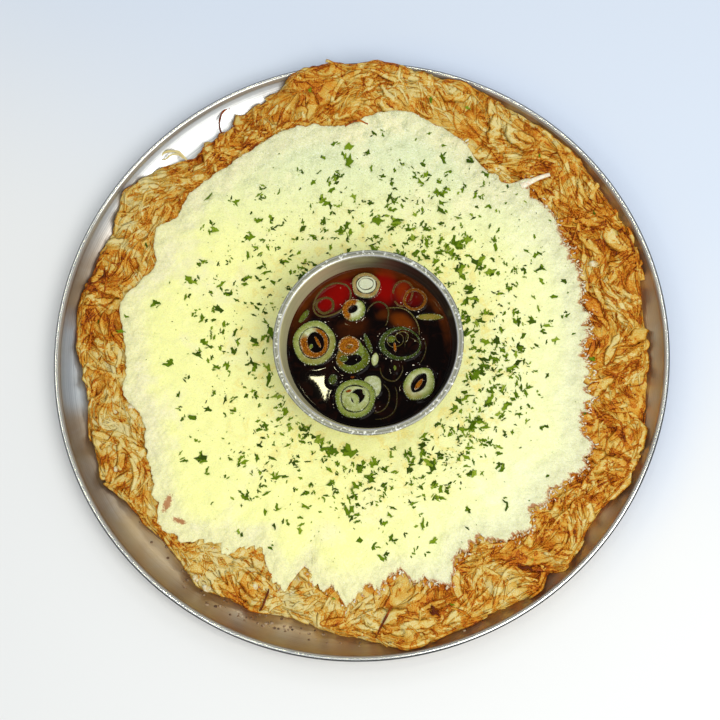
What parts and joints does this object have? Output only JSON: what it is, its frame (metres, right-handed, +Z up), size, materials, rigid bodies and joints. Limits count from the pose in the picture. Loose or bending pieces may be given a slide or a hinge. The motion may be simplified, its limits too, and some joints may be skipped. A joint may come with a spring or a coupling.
{
  "type": "potato pancake with cheese and dip on a round tray",
  "caption": "Sharing-size shredded potato pancake with melted cheese on a round steel tray, with a small steel bowl of soy dip and floating scallion slices.",
  "frame": {"origin": "centre of the tray's underside, on the surface that it rests on", "axes": "+Z up, through the tray's thin direction; the pancake's edge that lies over the rim is at +Y"},
  "size_m": [0.33, 0.33, 0.0441],
  "materials": {
    "tray_steel": "worn brushed stainless steel with a rolled bead",
    "fried_potato": "golden to brown fried potato shreds, slightly oily",
    "melted_cheese": "pale yellow melted cheese with a soft sheen",
    "bowl_steel": "spun stainless steel with a flat lip",
    "soy_dip": "dark thin soy sauce, red-brown where light passes",
    "scallion": "wet layered pale green slices with a green skin",
    "scallion_green": "wet thin dark green ring"
  },
  "bodies": {
    "root": {"tray": "tray_steel", "pancake": "fried_potato", "cheese": "melted_cheese", "sauce_bowl": "bowl_steel", "sauce": "soy_dip", "scallion_left": "scallion", "scallion_back": "scallion", "scallion_small": "scallion", "scallion_middle": "scallion", "scallion_front": "scallion", "scallion_right": "scallion", "scallion_dark_ring": "scallion_green", "scallion_far_ring": "scallion_green"}
  },
  "joints": []
}
